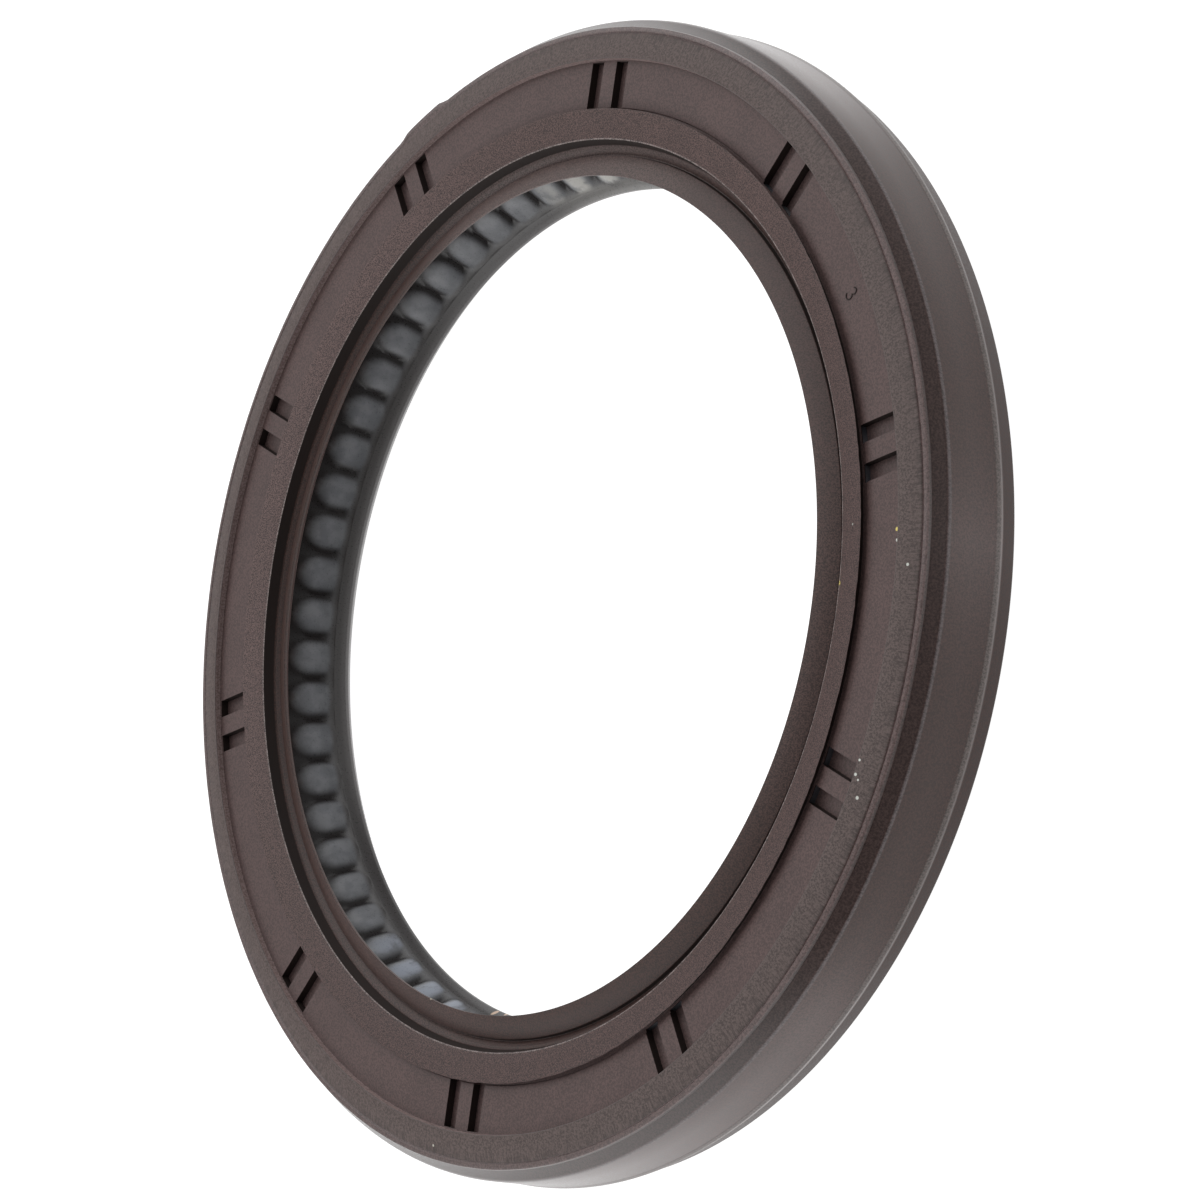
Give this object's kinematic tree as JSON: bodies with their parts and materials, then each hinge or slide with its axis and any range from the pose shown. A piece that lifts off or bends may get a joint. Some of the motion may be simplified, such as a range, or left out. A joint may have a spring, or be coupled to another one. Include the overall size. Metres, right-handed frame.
{
  "type": "radial shaft seal",
  "caption": "Flat ring seal with a ribbed, spring-loaded main lip, a dust lip, a slotted front face and a press-fit rubber outer wall round a steel case.",
  "frame": {"origin": "centre of the flat rear (oil side) face, on the axis, on the surface the seal lies on", "axes": "+Z along the shaft axis towards the slotted front (air side) face; +X through the middle of one pair of slots"},
  "size_m": [0.1002, 0.1002, 0.01],
  "materials": {
    "brown_rubber": "satin moulded rubber, dark greyish brown",
    "case_steel": "dull stamped steel, slate grey",
    "spring_steel": "bright drawn wire"
  },
  "bodies": {
    "root": {"rubber_body": "brown_rubber", "metal_case": "case_steel", "garter_spring": "spring_steel"}
  },
  "joints": []
}
